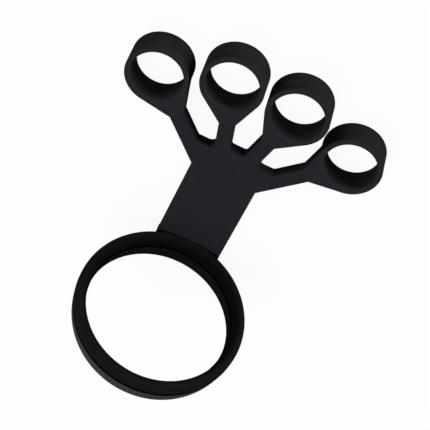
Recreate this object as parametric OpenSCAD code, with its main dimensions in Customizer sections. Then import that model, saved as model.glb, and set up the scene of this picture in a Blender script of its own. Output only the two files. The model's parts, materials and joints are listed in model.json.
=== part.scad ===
// Finger exerciser: a wrist ring, a palm plate and four straps that end in finger loops.
// It is one soft silicone moulding. Each node is a zone of it: the stiff zones and,
// between them, the short zones that bend or stretch.
// It is drawn flat, with the palm side of the plate at z = 0 and the fingers towards +y,
// and then set down on its wrist ring and its outer finger loops.

/* [Wrist ring] */
// Outside diameter at the parting line
cuff_d = 73.2; // [66:0.2:84]
// Thickness of the ring's wall
cuff_wall = 4.8; // [3.6:0.1:6.4]
// Height of the front half, in front of the parting line
cuff_front_h = 6.8; // [4:0.2:9]
// Height of the back half, behind the parting line
cuff_back_h = 10; // [6:0.2:13]
// Straight part of the inner and outer wall, in each half
cuff_land = 2.5; // [1:0.5:3]
// How far the back half is set in from the front half
cuff_step = 0.5; // [0:0.1:0.8]
// Angle between the ring's plane and the palm plate
cuff_fold = 73; // [60:1:90]
// Height of the ring's outside over the plate's underside, where they meet
cuff_rise = 1.8; // [0:0.2:2.4]

/* [Palm plate] */
// Width of the plate
plate_w = 28.8; // [26:0.2:36]
// Thickness of the plate, the straps and the yokes
plate_t = 5.8; // [3:0.2:7]
// Length of the zone that bends next to the wrist ring
wrist_neck_l = 9; // [6:0.5:14]
// Distance from the wrist ring to the line that the straps fan out from
fan_y = 47.6; // [44:0.2:52]
// Distance from the fan line to the bottom of the side notches
side_notch_rise = 8; // [6:0.2:12]
// Distance from the fan line to the bottom of the middle notch
mid_notch_rise = 11; // [9:0.2:14]
// Radius of the side notches' corners next to the inner straps
side_notch_round = 2.5; // [1:0.25:3]
// Radius of the notches' other corners
notch_round = 1.2; // [0.6:0.2:1.6]

/* [Straps] */
// Width of the straps of the index and little fingers
outer_strap_w = 6.2; // [5:0.2:8]
// Width of the straps of the middle and ring fingers
inner_strap_w = 6.4; // [5:0.1:7.6]
// Distance from the plate's edge to the outer strap's centre line, at the fan line
outer_root_inset = 1; // [0.4:0.2:3]
// Distance from the plate's middle to the inner strap's centre line, at the fan line
inner_root_x = 3.9; // [3:0.1:5]
// Clear length between a notch and the zone that bends
root_clear = 0.6; // [0.4:0.1:1.2]
// Length of the zone that bends next to each yoke
strap_neck_l = 3; // [2:0.25:4]

/* [Finger loops] */
// Bore of the finger loops
loop_bore_d = 22; // [18:0.5:22.5]
// Thickness of the loops' walls
loop_wall = 2.2; // [1.6:0.1:2.6]
// Depth of the loops
loop_h = 13; // [9:0.5:16]
// Distance between the middles of two neighbouring loops, across the part
loop_pitch = 28.4; // [28:0.2:34]
// Distance from the wrist ring to the middle of the inner loops
inner_loop_y = 86.8; // [86:0.2:96]
// How much nearer to the wrist the outer loops are
outer_loop_drop = 10.8; // [6:0.2:14]
// Distance from the outside of an inner loop to the end of its strap
inner_yoke_l = 5; // [3:0.2:6]
// The same for the outer loops
outer_yoke_l = 5.8; // [3:0.2:6.4]
// Direction of the outer yokes, from straight across
outer_yoke_angle = 43; // [30:1:50]
// Direction of the inner yokes, from straight across
inner_yoke_angle = 74; // [65:1:85]

/* [Hidden] */

silicone = "#232226";
silicone_back = "#2b2a2e";

round_fn = 96;
arc_steps = 8;
corner_steps = 4;
settle_steps = 6;
eps = 0.01;

// A finger is [side of the part, whether its strap is an outer one].
index = [-1, true];
middle = [-1, false];
ring = [1, false];
little = [1, true];

function unit(a) = [cos(a), sin(a)];
function left_of(a) = [-sin(a), cos(a)];
function heading(v) = atan2(v[1], v[0]);

// How much of each side a rounded corner takes, and the points of its arc.
function corner_l(angle, r) = r / tan(angle / 2);
function rounded(before, p, after, r) =
    let (u = unit(heading(before - p)), v = unit(heading(after - p)))
    let (angle = acos(u * v), turn = cross(u, v) > 0 ? angle - 180 : 180 - angle)
    let (c = p + (u + v) / norm(u + v) * r / sin(angle / 2))
    let (from = heading(p + u * corner_l(angle, r) - c))
    [for (i = [0:corner_steps]) c + r * unit(from + turn * i / corner_steps)];

// ---- Straps and loops, for a finger on the +x side ----
loop_r = loop_bore_d / 2 + loop_wall;

function loop_at(outer) = outer
    ? [1.5 * loop_pitch, inner_loop_y - outer_loop_drop]
    : [0.5 * loop_pitch, inner_loop_y];
function yoke_angle(outer) = outer ? outer_yoke_angle : inner_yoke_angle;
function yoke_reach(outer) = loop_r + (outer ? outer_yoke_l : inner_yoke_l);
function strap_w(outer) = outer ? outer_strap_w : inner_strap_w;
function strap_root(outer) = [outer ? plate_w / 2 - outer_root_inset : inner_root_x, fan_y];
function strap_end(outer) = loop_at(outer) - yoke_reach(outer) * unit(yoke_angle(outer));
function strap_angle(outer) = heading(strap_end(outer) - strap_root(outer));
function strap_l(outer) = norm(strap_end(outer) - strap_root(outer));

// A point on a strap's edge: side is 1 for its left edge and -1 for its right edge,
// and t is the distance from the fan line along the strap.
function strap_edge(outer, side, t) =
    strap_root(outer) + t * unit(strap_angle(outer))
    + side * strap_w(outer) / 2 * left_of(strap_angle(outer));
// How far along the strap that edge reaches a given y.
function edge_t_at_y(outer, side, y) =
    (y - strap_edge(outer, side, 0)[1]) / sin(strap_angle(outer));
function edge_t_at_x(outer, side, x) =
    (x - strap_edge(outer, side, 0)[0]) / cos(strap_angle(outer));

side_notch_y = fan_y + side_notch_rise;
mid_notch_y = fan_y + mid_notch_rise;
outer_notch_t = edge_t_at_y(true, 1, side_notch_y);
inner_side_notch_t = edge_t_at_y(false, -1, side_notch_y);
inner_mid_notch_t = edge_t_at_y(false, 1, mid_notch_y);
shoulder = strap_edge(true, -1, edge_t_at_x(true, -1, plate_w / 2));

// Where the strap begins, past its notches' rounded corners, and where its neck begins.
function seam_t(outer) = root_clear + (outer
    ? outer_notch_t + corner_l(180 - strap_angle(true), notch_round)
    : max(
        inner_side_notch_t + corner_l(strap_angle(false), side_notch_round),
        inner_mid_notch_t + corner_l(180 - strap_angle(false), notch_round)
    ));
function neck_t(outer) = strap_l(outer) - strap_neck_l;

// Where a line from point p touches a circle of radius r round c, on one side.
function tangent_at(p, c, r, side) =
    c + r * unit(heading(p - c) - side * acos(r / norm(p - c)));

// ---- Wrist ring: its own z axis runs through the ring, towards the fingers ----
cuff_r = cuff_d / 2;
cuff_mid_r = cuff_r - cuff_wall / 2;
cuff_centre = [-cuff_r * cos(cuff_fold), cuff_r * sin(cuff_fold) - plate_t + cuff_rise];

// Half of the wall's section: a straight part and two quarter ellipses, to one side.
function half_section(mid_r, h, dir) = concat(
    [[mid_r + cuff_wall / 2, 0]],
    [for (i = [0:2 * arc_steps])
        let (a = 90 * i / arc_steps)
        [mid_r + cuff_wall / 2 * cos(a), dir * (cuff_land + (h - cuff_land) * sin(a))]],
    [[mid_r - cuff_wall / 2, 0]]
);

// The front tip of the ring's lowest point, which the plate's palm side runs into.
tip_y = cuff_centre[0] + cuff_mid_r * cos(cuff_fold) + cuff_front_h * sin(cuff_fold);
palm_y = tip_y + wrist_neck_l;

// ---- How the part lies: on the back of the wrist ring and the edges of the outer loops ----
// The reach of the ring, and of the two outer loops, in a direction d of the y, z plane.
function section_reach(across, along, h) = along * cuff_land
    + norm([across * cuff_wall / 2, along * (h - cuff_land)]);
function cuff_reach(d) =
    let (in_plane = d * [cos(cuff_fold), -sin(cuff_fold)])
    let (through = d * [sin(cuff_fold), cos(cuff_fold)])
    d * cuff_centre + (cuff_mid_r - (through < 0 ? cuff_step : 0)) * abs(in_plane)
    + section_reach(in_plane, abs(through), through < 0 ? cuff_back_h : cuff_front_h);
loop_foot = [inner_loop_y - outer_loop_drop - loop_r, -loop_h];
function down(tilt) = [-sin(tilt), -cos(tilt)];
function settle(tilt, n) = n == 0 ? tilt
    : settle(tilt + (loop_foot * down(tilt) - cuff_reach(down(tilt))) / loop_foot[0] * 180 / PI, n - 1);
lie = settle(0, settle_steps);

floor_z = -loop_foot * down(lie);
back_y = -cuff_reach([-cos(lie), sin(lie)]);
front_y = (inner_loop_y + loop_r) * cos(lie) + loop_h * sin(lie);

module lay_down() {
    translate([0, -(back_y + front_y) / 2, -floor_z])
        rotate([lie, 0, 0])
            children();
}

// Draws a finger's sub-part on its own side of the part.
module on_side(finger) {
    lay_down()
        mirror([finger[0] < 0 ? 1 : 0, 0, 0])
            children();
}

module slab(points) {
    translate([0, 0, -plate_t])
        linear_extrude(plate_t)
            polygon(points);
}

// ---- Wrist ring ----
module in_cuff_frame() {
    translate([0, cuff_centre[0], cuff_centre[1]])
        rotate([-cuff_fold, 0, 0])
            children();
}

module wrist_ring_front() {
    color(silicone)
        lay_down()
            in_cuff_frame()
                rotate_extrude($fn = round_fn)
                    polygon(half_section(cuff_mid_r, cuff_front_h, 1));
}

module wrist_ring_back() {
    color(silicone_back)
        lay_down()
            in_cuff_frame()
                rotate_extrude($fn = round_fn)
                    polygon(half_section(cuff_mid_r - cuff_step, cuff_back_h, -1));
}

// ---- Palm plate and the zone that bends next to the wrist ring ----
module wrist_neck() {
    half = [
        [plate_w / 2, 0],
        [plate_w / 2, palm_y]
    ];
    color(silicone)
        lay_down()
            difference() {
                slab(both_sides(half));
                in_cuff_frame()
                    rotate_extrude($fn = round_fn)
                        polygon(concat([[0, 0]], filled_front(), [[0, cuff_front_h]]));
            }
}

// The front half's outer side with everything inside the ring filled.
function filled_front() = [for (p = half_section(cuff_mid_r, cuff_front_h, 1))
    if (p[0] > cuff_mid_r - eps) p];

// A half outline, going away from the wrist, and its mirror image coming back.
function both_sides(half) = concat(
    half,
    [for (i = [len(half) - 1:-1:0]) [-half[i][0], half[i][1]]]
);

module palm_plate() {
    outer_end = [for (side = [-1, 1]) strap_edge(true, side, seam_t(true))];
    inner_end = [for (side = [-1, 1]) strap_edge(false, side, seam_t(false))];
    outer_corner = strap_edge(true, 1, outer_notch_t);
    side_corner = strap_edge(false, -1, inner_side_notch_t);
    mid_corner = strap_edge(false, 1, inner_mid_notch_t);
    half = concat(
        [[plate_w / 2, palm_y], shoulder],
        outer_end,
        rounded(outer_end[1], outer_corner, side_corner, notch_round),
        rounded(outer_corner, side_corner, inner_end[0], side_notch_round),
        inner_end,
        rounded(inner_end[1], mid_corner, [0, mid_notch_y], notch_round)
    );
    color(silicone)
        lay_down()
            slab(both_sides(half));
}

// ---- Fingers ----
module strap_zone(finger, from_t, to_t) {
    outer = finger[1];
    color(silicone)
        on_side(finger)
            slab([
                strap_edge(outer, -1, from_t),
                strap_edge(outer, -1, to_t),
                strap_edge(outer, 1, to_t),
                strap_edge(outer, 1, from_t)
            ]);
}

module strap(finger) {
    strap_zone(finger, seam_t(finger[1]), neck_t(finger[1]));
}

module neck(finger) {
    strap_zone(finger, neck_t(finger[1]), strap_l(finger[1]));
}

module yoke(finger) {
    outer = finger[1];
    right_end = strap_edge(outer, -1, strap_l(outer));
    left_end = strap_edge(outer, 1, strap_l(outer));
    color(silicone)
        on_side(finger)
            difference() {
                slab([
                    right_end,
                    tangent_at(right_end, loop_at(outer), loop_r, -1),
                    loop_at(outer),
                    tangent_at(left_end, loop_at(outer), loop_r, 1),
                    left_end
                ]);
                at_loop(outer)
                    cylinder(h = loop_h + 2 * eps, r = loop_r, $fn = round_fn);
            }
}

module at_loop(outer) {
    translate([loop_at(outer)[0], loop_at(outer)[1], -loop_h - eps])
        children();
}

module loop(finger) {
    outer = finger[1];
    color(silicone)
        on_side(finger)
            translate([loop_at(outer)[0], loop_at(outer)[1], -loop_h])
                difference() {
                    cylinder(h = loop_h, r = loop_r, $fn = round_fn);
                    translate([0, 0, -eps])
                        cylinder(h = loop_h + 2 * eps, d = loop_bore_d, $fn = round_fn);
                }
}

wrist_ring_front();
wrist_ring_back();
wrist_neck();
palm_plate();
strap(index);  // index_strap
neck(index);  // index_neck
yoke(index);  // index_yoke
loop(index);  // index_loop
strap(middle);  // middle_strap
neck(middle);  // middle_neck
yoke(middle);  // middle_yoke
loop(middle);  // middle_loop
strap(ring);  // ring_strap
neck(ring);  // ring_neck
yoke(ring);  // ring_yoke
loop(ring);  // ring_loop
strap(little);  // little_strap
neck(little);  // little_neck
yoke(little);  // little_yoke
loop(little);  // little_loop
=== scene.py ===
"""The finger exerciser's looks: matt black silicone with moulded edges and a parting line.

The silicone body is made zone by zone, each in the space of its CAD nodes. The zones that bend or
stretch are lofts with many sections, and every zone ends in the same rounded section as its
neighbour, so that the body reads as one moulding at rest.
"""

import json
import math
from collections import namedtuple

import bmesh
import bpy
from mathutils import Matrix, Vector
from mathutils.geometry import delaunay_2d_cdt


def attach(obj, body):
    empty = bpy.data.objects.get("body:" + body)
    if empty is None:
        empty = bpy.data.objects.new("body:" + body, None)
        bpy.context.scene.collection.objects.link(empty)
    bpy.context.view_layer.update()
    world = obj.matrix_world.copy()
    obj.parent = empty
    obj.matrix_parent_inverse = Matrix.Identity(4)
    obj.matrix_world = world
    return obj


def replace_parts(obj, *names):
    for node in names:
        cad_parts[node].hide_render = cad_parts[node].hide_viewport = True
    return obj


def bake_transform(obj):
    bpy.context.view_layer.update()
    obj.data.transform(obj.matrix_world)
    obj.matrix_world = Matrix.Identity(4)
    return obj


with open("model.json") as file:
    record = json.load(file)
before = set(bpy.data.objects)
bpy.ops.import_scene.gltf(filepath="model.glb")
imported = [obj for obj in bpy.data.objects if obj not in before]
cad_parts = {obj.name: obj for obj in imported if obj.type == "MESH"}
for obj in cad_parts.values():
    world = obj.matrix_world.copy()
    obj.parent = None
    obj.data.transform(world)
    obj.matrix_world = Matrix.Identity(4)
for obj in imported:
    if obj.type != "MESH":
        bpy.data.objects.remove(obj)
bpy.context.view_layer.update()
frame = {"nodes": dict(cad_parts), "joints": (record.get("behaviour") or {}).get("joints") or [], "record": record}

# ---------------------------------------------------------------- named sizes, in metres
MM = 0.001

# The edges of the whole body.
EDGE_ROUND = 0.25 * MM      # rounding of the plate's, straps' and yokes' edges
SUPPORT = 0.12 * MM         # distance from a rounding to the edge loop that keeps the flat flat
ROUND_STEPS = 4

# The straps.
STATION = 0.5 * MM          # distance between two sections
LIFT_SHARE = 0.4            # share of a strap that bends; the rest of it stretches
ROOT_REACH = 10 * MM        # how far a strap's seam with the plate goes from its middle, at most

# The loops and their yokes.
RIM_ROUND = 0.4 * MM        # rounding of the rims outside
BORE_ROUND = 0.5 * MM       # rounding of the rims inside
RIM_BLEND = 3 * MM          # distance from a loop over which its rim's rounding becomes its yoke's
YOKE_FILLET = 0.5 * MM      # fillet between a yoke's underside and its loop
LOOP_ARC_STEPS = 84
YOKE_EDGE_STEPS = 8
YOKE_END_STEPS = 4

# The wrist ring, and the groove along its parting line.
DOME_STEPS = 14
RING_STEPS = 192
GROOVE_HALF_W = 0.22 * MM
GROOVE_DEPTH = 0.7 * MM
GROOVE_ROUND = 0.12 * MM
BACK_FLUSH = 0.35 * MM      # how far the back half swells out, next to the parting line
SWELL_REACH = 3             # how far the swell goes, in lengths of the section's straight part

# The wrist zone, between the plate and the wrist ring.
NECK_STATION = 0.25 * MM    # distance between two sections
NECK_STEPS = 28             # steps across its palm side
NECK_INSIDE = 0.4 * MM      # how much sooner than its solid it ends, inside the wrist ring
NECK_FILLET = 0.8 * MM      # distance from the wrist ring over which its edges curve into it
NECK_TUCK = 1.6 * MM        # distance from its end over which it curves up under the wrist ring
TUCK_SHARE = 0.7            # share of the thickness that it has lost at its end
CREASE_W = 0.8 * MM         # the crease between its palm side and the wrist ring
CREASE_DEPTH = 0.6 * MM

# Tolerances.
MERGE = 0.0005 * MM         # points of a new mesh this close are one point
DEGENERATE = 0.0002 * MM    # edges of a new mesh this short are taken out
CAD_MERGE = 0.001 * MM      # points of a CAD node this close are one point
ON_PLANE = 0.01 * MM        # points this close to a plane are on it
FILL_MERGE_MM = 1e-6        # points of a filled outline this close are one, in millimetres
PARALLEL = 1e-3             # sides whose angle has a sine this small are parallel
INSIDE_ONLY = 1             # keeps the triangles inside an outline

# ---------------------------------------------------------------- named looks
BLACK = (0.0138, 0.0134, 0.0172)
# Painted shade and light: the ring's front half is drawn darker, its back half lighter.
RING_SHADED_BLACK = (0.007, 0.007, 0.008)
RING_BACK_LIT_BLACK = (0.036, 0.0356, 0.0368)
UNEVEN_TINT = (0.95, 1.06)  # darkest and lightest of the soft unevenness
UNEVEN_ROUGH = (-0.07, 0.09)

# Tones, which multiply a surface's colour; all but the streaks' are painted light and shade.
LIGHT_STREAK = 0.6          # how far a streak goes lighter, as a share of how far it goes darker
FACE_PAINTED_LIGHT = 1.1             # painted light: the loops' faces are drawn lighter
FACE_FADE = (-1.3 * MM, -0.4 * MM)      # between these heights the faces' painted light takes over
# Painted light: the loops' bores are drawn lighter.
BORE_PAINTED_LIGHT = 1.6
BORE_FADE = (0.02 * MM, 0.12 * MM)      # distances outside the bore over which its painted light ends
# Painted shade: the wrist ring's halves are drawn darker on their inner side.
RING_INNER_SHADE = 0.6
BACK_INNER_SHADE = 0.22
WALL_FADE = 1.2 * MM        # the ring's painted inner shade ends this far on each side of the wall's middle
# Painted shadow: the parting line's groove and a band outside it are drawn nearly black.
GROOVE_SHADOW_TONE = 0.04
GROOVE_FADE = 0.1 * MM
GROOVE_SHADOW_W = 1.0 * MM    # how far the groove's painted shadow reaches to each side, outside

# Noise: its scale, how it is stretched round the z axis, and the depth of the relief from it.
TINT_SCALE = 140
ROUGH_SCALE = 900
BAND_SCALE, BAND_STRETCH = 800, 0.07
GRAIN_SCALE, GRAIN_DEPTH = 2600, 0.05 * MM
DRAW_SCALE, DRAW_STRETCH, DRAW_DEPTH = 1900, 0.02, 0.06 * MM
WAVE_SCALE, WAVE_DEPTH, WAVE_STRENGTH = 190, 0.12 * MM, 0.25

# The camera, in the row frame.
LENS = 118.54
SENSOR = 36.0
CAMERA_AT = Vector((-45.9, 313.3, 505.3)) * MM
VIEW = Vector((0.0844, -0.5405, -0.8371)).normalized()
IMAGE_RIGHT = Vector((0.904, 0.3949, -0.1638))

# The studio.
WHITE = (1.0, 1.0, 1.0)
WARM = (1.0, 1.0, 0.86)
FILL = 0.28                 # how strongly the backdrop lights the object
FLOOR_SIZE = 6
FLOOR_COLOUR = (0.6, 0.6, 0.6)
FLOOR_ROUGHNESS = 0.95
FLOOR_WHITE = 0.94          # share of plain white in the floor, as the eye sees it
SOFTBOXES = (               # name, place, size, watts and colour
    ("softbox_top", (-0.15, -0.4, 1.05), 0.8, 11.5, WHITE),
    ("softbox_left", (-1.0, 0.3, 0.25), 0.5, 4.8, WARM),
    ("softbox_right", (0.7, 0.8, 0.25), 0.5, 12, WARM),
)

# ---------------------------------------------------------------- what the frame says
FINGERS = ("index", "middle", "ring", "little")
mounts = {m["name"]: m for m in frame["record"]["mounts"]}
joints = {j["name"]: j for j in frame["joints"]}

X_AXIS = Vector((1, 0, 0))
Y_AXIS = Vector((0, 1, 0))
Z_AXIS = Vector((0, 0, 1))


def frame_matrix(x_axis, z_axis, origin):
    """A frame's matrix from its x and z axes."""
    z = Vector(z_axis).normalized()
    x = Vector(x_axis).normalized()
    y = z.cross(x)
    turn = Matrix((x, y, z)).transposed().to_4x4()
    return Matrix.Translation(origin) @ turn


def bore_end(mount, direction):
    """The middle of a bore's end, in the direction that is given along its axis."""
    return Vector(mount["pos_m"]) + direction * mount["dims"]["length_mm"] / 2 * MM


def palm_frame():
    """x goes across the hand, y along the plate and z out of its palm side, which is at z = 0."""
    up = Vector(mounts["index_bore"]["axis"])
    rim = bore_end(mounts["index_bore"], up)
    fold = Vector(joints["wrist_fold"]["pos_m"])
    return frame_matrix(X_AXIS, up, fold - up * (fold - rim).dot(up))


def ring_frame():
    """z goes through the wrist ring, towards the fingers, from its parting plane."""
    front = -Vector(mounts["wrist_bore"]["axis"])
    return frame_matrix(X_AXIS, front, bore_end(mounts["wrist_bore"], front))


PALM = palm_frame()
RING = ring_frame()


def in_palm(row_point):
    """A point of the row frame, in the palm frame."""
    return PALM.inverted() @ Vector(row_point)


def bore_size(name):
    """A bore's radius and length."""
    dims = mounts[name]["dims"]
    return dims["r_mm"] * MM, dims["length_mm"] * MM


def points_of(node, where=PALM):
    """A CAD node's vertices, in a frame."""
    back = where.inverted()
    return [back @ v.co for v in frame["nodes"][node].data.vertices]


def reach(node, direction, origin=Vector()):
    """The least and greatest distance of a node from a point of the palm frame, along a line."""
    along = [(p - origin).dot(direction) for p in points_of(node)]
    return min(along), max(along)


def ring_section(node):
    """A half of the wrist ring: its middle radius, half of its wall, and its height."""
    points = points_of(node, RING)
    radii = [p.xy.length for p in points]
    outer, inner = max(radii), min(radii)
    return (outer + inner) / 2, (outer - inner) / 2, max(abs(p.z) for p in points)


Strap = namedtuple("Strap", "root along side neck_start neck_end width")


def strap_of(finger):
    """A finger's strap: its root, its directions, where its neck starts and ends, and its width."""
    along = PALM.to_3x3().inverted() @ Vector(joints[finger + "_stretch"]["axis"])
    along.normalize()
    side = Vector((-along.y, along.x, 0))
    root = in_palm(joints[finger + "_lift"]["pos_m"])
    root.z = 0
    neck_start, neck_end = reach(finger + "_neck", along, root)
    low, high = reach(finger + "_neck", side)
    return Strap(root, along, side, neck_start, neck_end, high - low)


THICKNESS = -reach("wrist_neck", Z_AXIS)[0]
PLATE_W = 2 * reach("wrist_neck", X_AXIS)[1]
PLATE_START = reach("palm_plate", Y_AXIS)[0]
STRAPS = {finger: strap_of(finger) for finger in FINGERS}
DOME = ring_section("wrist_ring_front")
LAND = bore_size("wrist_bore")[1]       # the straight part of the ring's section


# ---------------------------------------------------------------- mesh tools
def new_piece(name, verts, faces, where, material, slot="silicone"):
    """A smooth mesh object from points of a frame, with its faces turned outwards."""
    mesh = bpy.data.meshes.new(name)
    mesh.from_pydata([where @ Vector(v) for v in verts], [], faces)
    made = bmesh.new()
    made.from_mesh(mesh)
    bmesh.ops.remove_doubles(made, verts=made.verts, dist=MERGE)
    bmesh.ops.dissolve_degenerate(made, edges=made.edges, dist=DEGENERATE)
    bmesh.ops.recalc_face_normals(made, faces=made.faces)
    made.to_mesh(mesh)
    made.free()
    for polygon in mesh.polygons:
        polygon.use_smooth = True
    mesh.materials.append(material)
    piece = bpy.data.objects.new(name, mesh)
    bpy.context.scene.collection.objects.link(piece)
    return piece


def loft(rings, closed_along=False, keep=lambda ring, step: True):
    """Vertices and quads that join closed rings of equally many points."""
    count = len(rings[0])
    verts = [p for ring in rings for p in ring]
    faces = []
    for i in range(len(rings) if closed_along else len(rings) - 1):
        for k in range(count):
            if not keep(i, k):
                continue
            here, there = i * count, (i + 1) % len(rings) * count
            after = (k + 1) % count
            faces.append((here + k, here + after, there + after, there + k))
    return verts, faces


def at_height(z):
    return Vector((0, 0, z))


def quarter():
    """(inset, depth) of a rounding of radius 1, from the flat to the wall."""
    angles = [math.pi / 2 * i / ROUND_STEPS for i in range(ROUND_STEPS + 1)]
    return [(1 - math.sin(a), 1 - math.cos(a)) for a in angles]


def edge_profile(bottom, rounding):
    """(inset, z) down a wall from z = 0, with rounded edges and an edge loop in each flat."""
    down = [(rounding + SUPPORT, 0)]
    down += [(rounding * inset, -rounding * depth) for inset, depth in quarter()]
    down.append((0, -rounding - SUPPORT))
    down.append((0, bottom + rounding + SUPPORT))
    down += [(rounding * inset, bottom + rounding * depth) for inset, depth in reversed(quarter())]
    down.append((rounding + SUPPORT, bottom))
    return down


UPPER = ROUND_STEPS + 3     # how many points of an edge_profile are in its upper half
WALL = edge_profile(-THICKNESS, EDGE_ROUND)


def strap_section(width):
    """The closed, rounded section of a strap or plate: (across, z), from its middle."""
    right = [(width / 2 - inset, z) for inset, z in WALL]
    left = [(-across, z) for across, z in reversed(right)]
    return right + left


# ---------------------------------------------------------------- the straps
def strap_zone(name, strap, start, end, material):
    """A straight stretch of strap between two distances from its root, open at both ends."""
    section = strap_section(strap.width)
    count = max(2, math.ceil((end - start) / STATION))
    rings = []
    for i in range(count + 1):
        middle = strap.root + strap.along * (start + (end - start) * i / count)
        rings.append([middle - strap.side * u + at_height(z) for u, z in section])
    return new_piece(name, *loft(rings), PALM, material)


# ---------------------------------------------------------------- the palm plate
def top_outline(node):
    """The outline of a node's palm side, anticlockwise, as points of the palm frame."""
    grown = bmesh.new()
    grown.from_mesh(frame["nodes"][node].data)
    grown.transform(PALM.inverted())
    bmesh.ops.remove_doubles(grown, verts=grown.verts, dist=CAD_MERGE)
    grown.verts.index_update()
    grown.faces.index_update()
    top = [f for f in grown.faces if all(abs(v.co.z) < ON_PLANE for v in f.verts)]
    on_top = {f.index for f in top}
    follows = {}
    for face in top:
        for loop in face.loops:
            beside = {f.index for f in loop.edge.link_faces} - {face.index}
            if not beside & on_top:
                follows[loop.vert.index] = loop.link_loop_next.vert.index
    places = {v.index: v.co.copy() for v in grown.verts}
    grown.free()
    first = here = next(iter(follows))
    outline = []
    while True:
        outline.append(Vector((places[here].x, places[here].y, 0)))
        here = follows[here]
        if here == first:
            break
    area = sum(a.x * b.y - b.x * a.y for a, b in zip(outline, outline[1:] + outline[:1]))
    return outline if area > 0 else outline[::-1]


def inward(a, b):
    """The unit vector into an anticlockwise outline from its side a to b."""
    d = (b - a).normalized()
    return Vector((-d.y, d.x, 0))


def insets(outline, is_seam):
    """For each point of an outline, how it moves as the sides that aren't seams move in by 1."""
    moves = []
    count = len(outline)
    for i, p in enumerate(outline):
        before, after = outline[i - 1], outline[(i + 1) % count]
        n1, n2 = inward(before, p), inward(p, after)
        a1 = 0 if is_seam(before, p) else 1
        a2 = 0 if is_seam(p, after) else 1
        det = n1.x * n2.y - n1.y * n2.x
        if abs(det) < PARALLEL:
            moves.append(n1 * a1)
            continue
        moves.append(Vector(((a1 * n2.y - a2 * n1.y) / det, (a2 * n1.x - a1 * n2.x) / det, 0)))
    return moves


def fill(ring):
    """Triangles over a flat outline."""
    flat = [Vector((p.x, p.y)) / MM for p in ring]
    sides = [(i, (i + 1) % len(flat)) for i in range(len(flat))]
    verts, _, faces, *_ = delaunay_2d_cdt(flat, sides, [], INSIDE_ONLY, FILL_MERGE_MM)
    return [Vector((v.x * MM, v.y * MM, ring[0].z)) for v in verts], [tuple(f) for f in faces]


def palm_shell(material):
    """The palm plate with its rounded notches, open where the straps and the wrist zone join it."""
    outline = top_outline("palm_plate")

    def is_seam(a, b):
        if all(abs(p.y - PLATE_START) < ON_PLANE for p in (a, b)):
            return True
        return any(
            all(abs((p - strap.root).dot(strap.along)) < ON_PLANE for p in (a, b))
            and (a - strap.root).length < ROOT_REACH
            for strap in STRAPS.values()
        )

    moves = insets(outline, is_seam)
    rings = [[p + m * inset + at_height(z) for p, m in zip(outline, moves)] for inset, z in WALL]
    seams = [is_seam(p, outline[(i + 1) % len(outline)]) for i, p in enumerate(outline)]
    verts, faces = loft(rings, keep=lambda ring, step: not seams[step])
    for ring in (rings[0], rings[-1]):
        more, triangles = fill(ring)
        faces += [tuple(len(verts) + k for k in t) for t in triangles]
        verts += more
    return new_piece("palm_shell", verts, faces, PALM, material)


# ---------------------------------------------------------------- the wrist zone
def off_the_dome(point):
    """How far a point of the palm frame is outside the wrist ring's front half, roughly."""
    middle, half, height = DOME
    p = RING.inverted() @ PALM @ point
    u = (p.xy.length - middle) / half
    v = max(0, p.z - LAND) / (height - LAND)
    size = math.hypot(u, v)
    return (size - 1) * size / math.hypot(u / half, v / (height - LAND))


def wrist_zone(material):
    """The plate's end, which bends, meets the wrist ring in a crease and curves up under it."""
    end = reach("wrist_neck", Y_AXIS)[0] + NECK_INSIDE
    count = math.ceil((PLATE_START - end) / NECK_STATION)
    rings = []
    for i in range(count + 1):
        y = PLATE_START + (end - PLATE_START) * i / count
        tuck = max(0, 1 - (y - end) / NECK_TUCK)
        thin = 1 - TUCK_SHARE * (1 - math.sqrt(1 - tuck * tuck))
        close = NECK_FILLET - max(0, off_the_dome(Vector((PLATE_W / 2, y, 0))))
        flare = max(0, close) ** 2 / (4 * NECK_FILLET)
        section = strap_section(PLATE_W + 2 * flare)
        right = section[0][0]
        section += [(right * (2 * k / NECK_STEPS - 1), 0) for k in range(1, NECK_STEPS)]
        ring = []
        for x, z in section:
            if z == 0:
                near = 1 - max(0, off_the_dome(Vector((x, y, 0)))) / CREASE_W
                z -= CREASE_DEPTH * max(0, near) ** 2
            ring.append(Vector((x, y, z * thin)))
        rings.append(ring)
    verts, faces = loft(rings)
    last = len(rings[0]) * count
    faces.append(tuple(range(last, last + len(rings[0]))))
    return new_piece("wrist_zone", verts, faces, PALM, material)


# ---------------------------------------------------------------- the loops
def loop_outline(finger, centre, wall_r):
    """A loop with its yoke from above, clockwise from the strap's left corner.

    The points are tangent, arc, tangent and strap's end. With them come how each point moves as
    the sides move in by 1, and the number of the first side that is a seam.
    """
    strap = STRAPS[finger]
    side = strap.side
    end = strap.root + strap.along * strap.neck_end
    half_w = strap.width / 2
    left, right = end + side * half_w, end - side * half_w

    def tangent(corner, turn):
        out = corner - centre
        angle = math.atan2(out.y, out.x) + turn * math.acos(wall_r / out.length)
        return angle, centre + Vector((math.cos(angle), math.sin(angle), 0)) * wall_r

    from_angle, from_point = tangent(left, -1)
    to_angle, to_point = tangent(right, 1)
    sweep = (to_angle - from_angle) % (2 * math.pi) - 2 * math.pi

    outline, moves = [], []
    for i in range(YOKE_EDGE_STEPS):
        outline.append(left.lerp(from_point, i / YOKE_EDGE_STEPS))
        moves.append(-side if i == 0 else inward(from_point, left))
    for i in range(LOOP_ARC_STEPS + 1):
        angle = from_angle + sweep * i / LOOP_ARC_STEPS
        out = Vector((math.cos(angle), math.sin(angle), 0))
        outline.append(centre + out * wall_r)
        moves.append(-out)
    for i in range(1, YOKE_EDGE_STEPS + 1):
        outline.append(to_point.lerp(right, i / YOKE_EDGE_STEPS))
        moves.append(side if i == YOKE_EDGE_STEPS else inward(right, to_point))
    first_seam = len(outline) - 1
    for i in range(1, YOKE_END_STEPS):
        outline.append(right.lerp(left, i / YOKE_END_STEPS))
        moves.append(side * (1 - 2 * i / YOKE_END_STEPS))
    return outline, moves, first_seam


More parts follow.
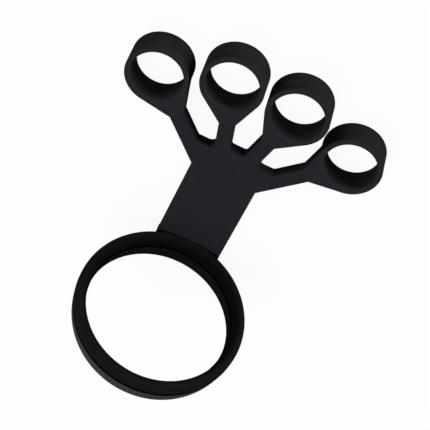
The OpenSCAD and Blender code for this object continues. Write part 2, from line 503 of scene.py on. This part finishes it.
def loop_shell(finger, material):
    """A finger loop with its yoke: up the bore, over the rim, down the outline and back below."""
    centre = in_palm(mounts[finger + "_bore"]["pos_m"])
    centre.z = 0
    bore_r, depth = bore_size(finger + "_bore")
    wall_r = reach(finger + "_loop", X_AXIS, centre)[1]
    outline, moves, first_seam = loop_outline(finger, centre, wall_r)
    outs = [(p - centre).normalized() for p in outline]
    spare = [(p - centre).length - wall_r for p in outline]

    def circle(r, z):
        return [centre + out * r + at_height(z) for out in outs]

    rings = [circle(bore_r + inset, z) for inset, z in reversed(edge_profile(-depth, BORE_ROUND))]
    yoke_from = len(rings)

    # The outline's wall, with the rim's rounding on the loop and the strap's away from it.
    for (inset, z), (rim_inset, rim_z) in zip(WALL, edge_profile(-THICKNESS, RIM_ROUND)[:UPPER]):
        ring = []
        for p, m, s in zip(outline, moves, spare):
            share = min(1, s / RIM_BLEND)
            ring.append(p + m * (rim_inset + (inset - rim_inset) * share)
                        + at_height(rim_z + (z - rim_z) * share))
        rings.append(ring)
    for inset, z in WALL[UPPER:]:
        shares = [min(1, s / (EDGE_ROUND + YOKE_FILLET + 2 * SUPPORT)) for s in spare]
        rings.append([p + m * inset * share + at_height(z)
                      for p, m, share in zip(outline, moves, shares)])
    yoke_to = len(rings) - 1

    # The yoke's underside, with a fillet to the loop, and the rest of the loop's wall.
    rings.append([centre + out * (wall_r + min(YOKE_FILLET + SUPPORT, s)) + at_height(-THICKNESS)
                  for out, s in zip(outs, spare)])
    for inset, down in quarter():
        rings.append([centre + out * (wall_r + min(YOKE_FILLET, s) * (1 - down))
                      + at_height(-THICKNESS - YOKE_FILLET * (1 - inset))
                      for out, s in zip(outs, spare)])
    for inset, z in edge_profile(-depth, RIM_ROUND)[UPPER:]:
        rings.append(circle(wall_r - inset, z))

    def keep(ring, step):
        return step < first_seam or not yoke_from <= ring < yoke_to

    verts, faces = loft(rings, closed_along=True, keep=keep)
    return new_piece(finger + "_loop_shell", verts, faces, PALM, material)


# ---------------------------------------------------------------- the wrist ring
def ring_half(name, node, direction, material, slot, swell=0.0):
    """Half of the wrist ring: a domed section with a rounded edge at the parting line, turned.

    swell is how far its outside swells out next to the parting line.
    """
    middle, half, height = ring_section(node)

    def swollen(r, up):
        if r > 0:
            r += swell * max(0, 1 - up / (SWELL_REACH * LAND)) ** 2
        return r, up

    groove = [(GROOVE_DEPTH, 0), (GROOVE_DEPTH, GROOVE_HALF_W)]
    groove += [(GROOVE_ROUND * inset, GROOVE_HALF_W + GROOVE_ROUND * depth)
               for inset, depth in quarter()]
    profile = [(half - depth, up) for depth, up in groove]
    for i in range(2 * DOME_STEPS + 1):
        angle = math.pi / 2 * i / DOME_STEPS
        profile.append((half * math.cos(angle), LAND + (height - LAND) * math.sin(angle)))
    profile = [swollen(r, up) for r, up in profile]
    profile += [(depth - half, up) for depth, up in reversed(groove)]
    rings = []
    for i in range(RING_STEPS):
        angle = 2 * math.pi * i / RING_STEPS
        out = Vector((math.cos(angle), math.sin(angle), 0))
        rings.append([out * (middle + r) + at_height(direction * up) for r, up in profile])
    piece = new_piece(name, *loft(rings, closed_along=True), RING, material, slot)
    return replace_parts(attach(piece, "wrist"), node)


# ---------------------------------------------------------------- materials
def add_node(tree, kind, inputs, **settings):
    """A new shader node with its settings; an input is a value, or a socket to link."""
    node = tree.nodes.new("ShaderNode" + kind)
    for setting, value in settings.items():
        setattr(node, setting, value)
    for key, value in inputs.items():
        if isinstance(value, bpy.types.NodeSocket):
            tree.links.new(value, node.inputs[key])
        else:
            node.inputs[key].default_value = value
    return node


def silicone(name, colour, where, draw_marks, grain, roughness=0.78, streaks=0.0, face=None,
             inner=None, axis=(0, 0, 0), groove=None):
    """Matt silicone with a fine grain and a soft unevenness, in the space of a frame.

    draw_marks and streaks are the relief and the tone of the marks that run round the z axis.
    face is the tone of the flat at z = 0, which has no streaks: a painted highlight there.
    inner is the tone near an axis parallel to z, and the two distances from the axis between which
    it turns into the tone outside: painted light in the loops' bores, painted shade in the ring.
    groove, where inner is given too, is how far a groove's painted shadow at z = 0 reaches outside.
    """
    material = bpy.data.materials.new(name)
    material.use_nodes = True
    tree = material.node_tree
    shader = tree.nodes["Principled BSDF"]
    shader.inputs["Specular IOR Level"].default_value = 0.0

    def noise(source, scale, detail=3.0, rough=0.55):
        inputs = {"Vector": source, "Scale": scale, "Detail": detail, "Roughness": rough}
        return add_node(tree, "TexNoise", inputs).outputs["Fac"]

    def ranged(source, low, high, from_low=0.3, from_high=0.7):
        inputs = {"Value": source, "From Min": from_low, "From Max": from_high,
                  "To Min": low, "To Max": high}
        return add_node(tree, "MapRange", inputs).outputs["Result"]

    def mixed(factor, a, b, **settings):
        inputs = {"Factor": factor, "A": a, "B": b}
        return add_node(tree, "Mix", inputs, **settings).outputs["Result"]

    def calculated(operation, *values):
        inputs = dict(enumerate(values))
        return add_node(tree, "Math", inputs, operation=operation).outputs["Value"]

    def vector_node(operation, inputs):
        return add_node(tree, "VectorMath", inputs, operation=operation).outputs

    def stretched(share):
        inputs = {"Vector": place, "Scale": (share, share, 1)}
        return add_node(tree, "Mapping", inputs).outputs["Vector"]

    place = add_node(tree, "Mapping", {
        "Vector": add_node(tree, "TexCoord", {}).outputs["Object"],
        "Rotation": where.inverted().to_euler(),
        "Location": where.inverted().translation,
    }).outputs["Vector"]
    height = add_node(tree, "SeparateXYZ", {"Vector": place}).outputs["Z"]

    dark, light = ((*[c * tint for c in colour], 1) for tint in UNEVEN_TINT)
    uneven = ranged(noise(place, TINT_SCALE, detail=2.0), 0, 1)
    tinted = mixed(uneven, dark, light, data_type="RGBA")
    bands = noise(stretched(BAND_STRETCH), BAND_SCALE, rough=0.65)
    tone = ranged(bands, 1 - streaks, 1 + LIGHT_STREAK * streaks)
    # painted highlight on the flat at z = 0
    if face:
        tone = mixed(ranged(height, 1, 0, *FACE_FADE), face, tone)
    # near the axis: painted light in a loop's bore, painted shade inside the wrist ring
    if inner:
        inner_tone, near, far = inner
        from_axis = vector_node("SUBTRACT", {0: place, 1: axis})["Vector"]
        flat = vector_node("MULTIPLY", {0: from_axis, 1: (1, 1, 0)})["Vector"]
        radius = vector_node("LENGTH", {0: flat})["Value"]
        tone = calculated("MULTIPLY", tone, ranged(radius, inner_tone, 1, near, far))
        # painted shadow along the parting line's groove and just outside it
        if groove:
            away = calculated("ABSOLUTE", height)
            shadow_inside, shadow_outside = (
                ranged(away, GROOVE_SHADOW_TONE, 1, reached, reached + GROOVE_FADE)
                for reached in (GROOVE_HALF_W, groove)
            )
            line = mixed(ranged(radius, 0, 1, near, far), shadow_inside, shadow_outside)
            tone = calculated("MULTIPLY", tone, line)
    shaded = vector_node("SCALE", {0: tinted, "Scale": tone})["Vector"]
    tree.links.new(shaded, shader.inputs["Base Color"])
    mottled = noise(place, ROUGH_SCALE, detail=4.0)
    smooth, rough = (roughness + step for step in UNEVEN_ROUGH)
    tree.links.new(ranged(mottled, smooth, rough), shader.inputs["Roughness"])

    normal = None
    for source, scale, strength, distance in (
        (place, GRAIN_SCALE, grain, GRAIN_DEPTH),
        (stretched(DRAW_STRETCH), DRAW_SCALE, draw_marks, DRAW_DEPTH),
        (place, WAVE_SCALE, WAVE_STRENGTH, WAVE_DEPTH),
    ):
        inputs = {"Strength": strength, "Distance": distance, "Height": noise(source, scale)}
        if normal:
            inputs["Normal"] = normal
        normal = add_node(tree, "Bump", inputs).outputs["Normal"]
    tree.links.new(normal, shader.inputs["Normal"])
    return material


def loop_silicone(finger):
    """A loop's silicone, with painted light that draws its bore lighter."""
    bore_r = bore_size(finger + "_bore")[0]
    near, far = (bore_r + step for step in BORE_FADE)
    return silicone("silicone_" + finger, BLACK, PALM, draw_marks=0.55, grain=0.3, streaks=0.4,
                    face=FACE_PAINTED_LIGHT, inner=(BORE_PAINTED_LIGHT, near, far),
                    axis=in_palm(mounts[finger + "_bore"]["pos_m"]))


ring_middle = ring_section("wrist_ring_back")[0]
across_the_wall = (ring_middle - WALL_FADE, ring_middle + WALL_FADE)
plate_silicone = silicone("silicone_plate", BLACK, PALM, draw_marks=0.1, grain=0.35)
ring_silicone = silicone("silicone_ring", RING_SHADED_BLACK, RING, draw_marks=0.5, grain=0.3,
                         roughness=0.6, streaks=0.25,
                         inner=(RING_INNER_SHADE, *across_the_wall), groove=GROOVE_SHADOW_W)
back_silicone = silicone("silicone_ring_back", RING_BACK_LIT_BLACK, RING, draw_marks=0.35, grain=0.8,
                         streaks=0.35,
                         inner=(BACK_INNER_SHADE, *across_the_wall), groove=GROOVE_SHADOW_W)

# ---------------------------------------------------------------- the object
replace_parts(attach(palm_shell(plate_silicone), "palm"), "palm_plate")

wrist = wrist_zone(plate_silicone)
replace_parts(wrist, "wrist_neck")
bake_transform(wrist)

ring_half("wrist_ring_front_shell", "wrist_ring_front", 1, ring_silicone, "silicone")
ring_half("wrist_ring_back_shell", "wrist_ring_back", -1, back_silicone, "silicone_back",
          BACK_FLUSH)

for finger, strap in STRAPS.items():
    neck_start, neck_end = strap.neck_start, strap.neck_end
    lift_end = LIFT_SHARE * neck_start

    def at(distance):
        return PALM @ (strap.root + strap.along * distance + at_height(-THICKNESS / 2))

    lift = strap_zone(finger + "_strap_root", strap, 0, lift_end, plate_silicone)
    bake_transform(lift)
    pull = strap_zone(finger + "_strap_band", strap, lift_end, neck_start, plate_silicone)
    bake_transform(pull)
    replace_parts(pull, finger + "_strap")
    neck = strap_zone(finger + "_neck_band", strap, neck_start, neck_end, plate_silicone)
    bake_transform(neck)
    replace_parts(neck, finger + "_neck")
    shell = loop_shell(finger, loop_silicone(finger))
    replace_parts(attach(shell, finger + "_loop"), finger + "_yoke", finger + "_loop")


# ---------------------------------------------------------------- floor, light and camera
def seen_by_eye(tree):
    """1 for the rays that show the surroundings: the camera's, and those in gloss and glass."""
    path = add_node(tree, "LightPath", {}).outputs
    seen = path["Is Camera Ray"]
    for ray in ("Is Glossy Ray", "Is Transmission Ray"):
        either = add_node(tree, "Math", {0: seen, 1: path[ray]}, operation="MAXIMUM")
        seen = either.outputs["Value"]
    return seen


def make_world():
    """A white backdrop, which lights the object less than it shows."""
    world = bpy.data.worlds.new("studio")
    bpy.context.scene.world = world
    world.use_nodes = True
    tree = world.node_tree
    lighting = tree.nodes["Background"]
    lighting.inputs["Color"].default_value = (*WHITE, 1)
    lighting.inputs["Strength"].default_value = FILL
    mix = add_node(tree, "MixShader", {
        "Fac": seen_by_eye(tree),
        1: lighting.outputs["Background"],
        2: add_node(tree, "Background", {"Color": (*WHITE, 1)}).outputs["Background"],
    })
    tree.links.new(mix.outputs["Shader"], tree.nodes["World Output"].inputs["Surface"])


def make_floor():
    """A pale floor that takes shadows, and is nearly white to the eye."""
    bpy.ops.mesh.primitive_plane_add(size=FLOOR_SIZE)
    floor = bpy.context.object
    floor.name = "floor"
    material = bpy.data.materials.new("pale_floor")
    material.use_nodes = True
    tree = material.node_tree
    shader = tree.nodes["Principled BSDF"]
    shader.inputs["Base Color"].default_value = (*FLOOR_COLOUR, 1)
    shader.inputs["Roughness"].default_value = FLOOR_ROUGHNESS
    shader.inputs["Specular IOR Level"].default_value = 0.0
    share = add_node(tree, "Math", {0: seen_by_eye(tree), 1: FLOOR_WHITE}, operation="MULTIPLY")
    mix = add_node(tree, "MixShader", {
        "Fac": share.outputs["Value"],
        1: shader.outputs["BSDF"],
        2: add_node(tree, "Emission", {}).outputs["Emission"],
    })
    tree.links.new(mix.outputs["Shader"], tree.nodes["Material Output"].inputs["Surface"])
    floor.data.materials.append(material)


def softbox(name, at, size, watts, colour):
    """A round soft light that points at the origin."""
    light = bpy.data.lights.new(name, "AREA")
    light.color = colour
    light.shape = "DISK"
    light.size = size
    light.energy = watts
    lamp = bpy.data.objects.new(name, light)
    lamp.location = at
    lamp.rotation_mode = "QUATERNION"
    lamp.rotation_quaternion = (-Vector(at)).to_track_quat("-Z", "Y")
    bpy.context.scene.collection.objects.link(lamp)


def make_camera():
    camera = bpy.data.objects.new("camera", bpy.data.cameras.new("camera"))
    camera.data.lens = LENS
    camera.data.sensor_width = SENSOR
    right = (IMAGE_RIGHT - VIEW * IMAGE_RIGHT.dot(VIEW)).normalized()
    up = right.cross(VIEW)
    turn = Matrix((right, up, -VIEW)).transposed().to_4x4()
    camera.matrix_world = Matrix.Translation(CAMERA_AT) @ turn
    bpy.context.scene.collection.objects.link(camera)
    bpy.context.scene.camera = camera


make_world()
make_floor()
for box in SOFTBOXES:
    softbox(*box)
make_camera()
bpy.context.scene.view_settings.view_transform = "Standard"
